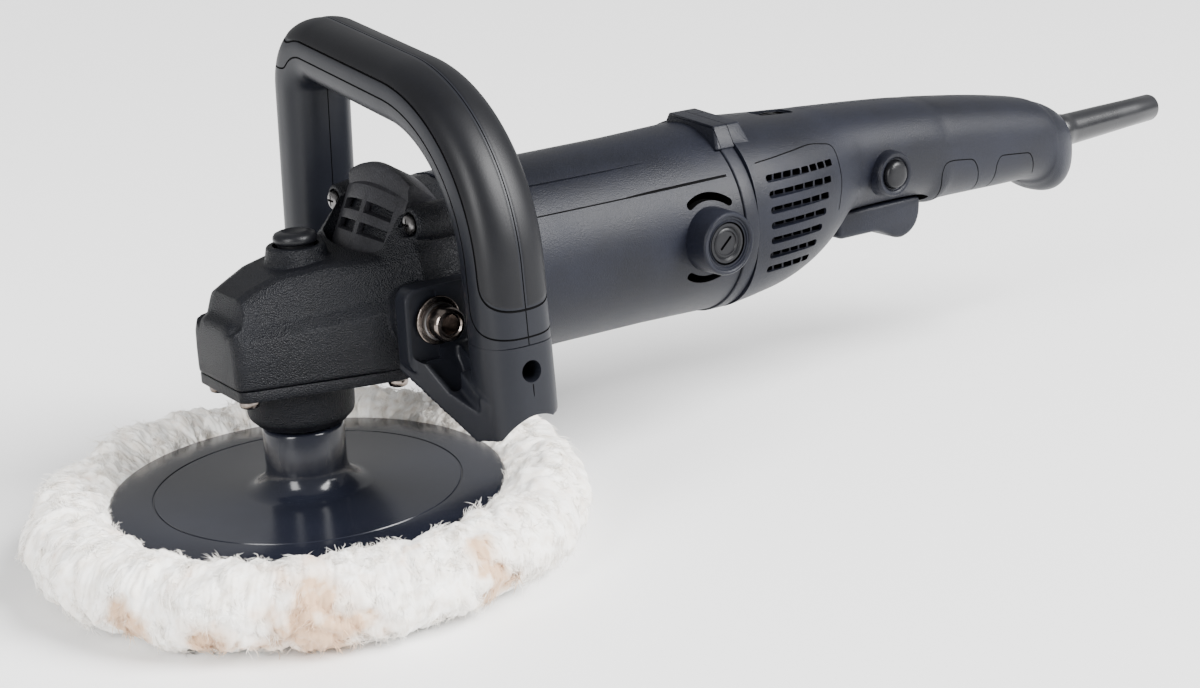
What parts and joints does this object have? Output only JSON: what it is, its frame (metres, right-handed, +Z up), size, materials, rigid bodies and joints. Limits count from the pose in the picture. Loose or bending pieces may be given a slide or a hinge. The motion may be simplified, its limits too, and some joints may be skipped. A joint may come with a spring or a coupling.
{
  "type": "rotary polisher",
  "caption": "Rotary polisher with a tied wool bonnet on a round backing plate, a right-angle gearbox, a D-shaped front handle and a rear handle with a paddle trigger.",
  "frame": {"origin": "centre of the wool bonnet's flat working face, on the spindle's axis", "axes": "+Z up the spindle, away from the work; +X back along the motor to the rear handle; -Y to the side with the lock-on button and the rounded corner of the D-handle"},
  "size_m": [0.5935, 0.211, 0.1923],
  "materials": {
    "charcoal_plastic": "fine spark-eroded texture",
    "wrinkle_paint": "black wrinkle paint on a casting",
    "soft_rubber": "soft satin rubber",
    "plate_nylon": "satin moulded nylon",
    "bright_steel": "zinc plated",
    "dark_steel": "oiled dark steel",
    "enamelled_copper": "enamelled copper",
    "brass": "plain brass",
    "carbon": "carbon block",
    "lambswool": "long cream wool pile",
    "glass_nylon": "glass-filled nylon"
  },
  "bodies": {
    "tool_body": {"bearing_flange": "wrinkle_paint", "brush_cap_far": "glass_nylon", "brush_cap_near": "glass_nylon", "brush_holder_far": "brass", "brush_holder_near": "brass", "carbon_brush_far": "carbon", "carbon_brush_near": "carbon", "cord_clamp": "glass_nylon", "field_coil_far": "enamelled_copper", "field_coil_near": "enamelled_copper", "flange_screw_1": "bright_steel", "flange_screw_2": "bright_steel", "flange_screw_3": "bright_steel", "flange_screw_4": "bright_steel", "front_motor_bearing": "bright_steel", "gearbox_housing": "wrinkle_paint", "handle_bolt_far": "bright_steel", "handle_bolt_near": "bright_steel", "handle_front_shell": "charcoal_plastic", "handle_grip": "soft_rubber", "handle_rear_shell": "charcoal_plastic", "hood_screw_1": "bright_steel", "hood_screw_2": "bright_steel", "lower_bearing": "bright_steel", "middle_ring": "charcoal_plastic", "motor_housing": "charcoal_plastic", "rear_motor_bearing": "bright_steel", "rear_shell_far": "charcoal_plastic", "rear_shell_near": "charcoal_plastic", "shell_screw_1": "bright_steel", "shell_screw_2": "bright_steel", "shell_screw_3": "bright_steel", "speed_board": "glass_nylon", "stator_core": "dark_steel", "strain_relief": "soft_rubber", "switch_body": "glass_nylon", "upper_bearing": "bright_steel", "vent_hood": "glass_nylon", "washer_far": "bright_steel", "washer_near": "bright_steel"},
    "polishing_head": {"spindle": "bright_steel", "ring_gear": "dark_steel", "hub_insert": "bright_steel", "backing_plate": "plate_nylon", "hook_disc": "soft_rubber", "wool_bonnet": "lambswool"},
    "rotor": {"armature_core": "dark_steel", "armature_shaft": "bright_steel", "armature_winding_front": "enamelled_copper", "armature_winding_rear": "enamelled_copper", "commutator": "enamelled_copper", "cooling_fan": "glass_nylon", "pinion_gear": "dark_steel"},
    "lock_button": {"spindle_lock_button": "soft_rubber"},
    "trigger_lever": {"trigger": "charcoal_plastic"},
    "lock_on_pusher": {"lock_on_button": "soft_rubber"},
    "speed_wheel": {"speed_dial": "soft_rubber"}
  },
  "joints": [
    {"name": "spindle_spin", "type": "hinge", "parent": "tool_body", "child": "polishing_head", "pos_m": [0, 0, 0.05], "axis": [0, 0, 1], "continuous": true},
    {"name": "motor_spin", "type": "hinge", "parent": "tool_body", "child": "rotor", "pos_m": [0.1, 0, 0.097], "axis": [1, 0, 0], "continuous": true},
    {"name": "spindle_lock_press", "type": "slide", "parent": "tool_body", "child": "lock_button", "axis": [0, 0, -1], "range_m": [0, 0.004], "stiffness_N_per_m": 900, "springref_m": -0.004},
    {"name": "trigger_pull", "type": "hinge", "parent": "tool_body", "child": "trigger_lever", "pos_m": [0.26, 0, 0.086], "axis": [0, -1, 0], "range_deg": [0, 7], "stiffness_Nm_per_rad": 2, "springref_deg": -6.88},
    {"name": "lock_on_press", "type": "slide", "parent": "tool_body", "child": "lock_on_pusher", "axis": [0, 1, 0], "range_m": [0, 0.003], "stiffness_N_per_m": 700, "springref_m": -0.003},
    {"name": "speed_set", "type": "hinge", "parent": "tool_body", "child": "speed_wheel", "pos_m": [0.2335, 0, 0.1255], "axis": [0, 1, 0], "range_deg": [-140, 140]}
  ],
  "couplings": [
    {"joint": "motor_spin", "follows": "spindle_spin", "ratio": 4}
  ]
}
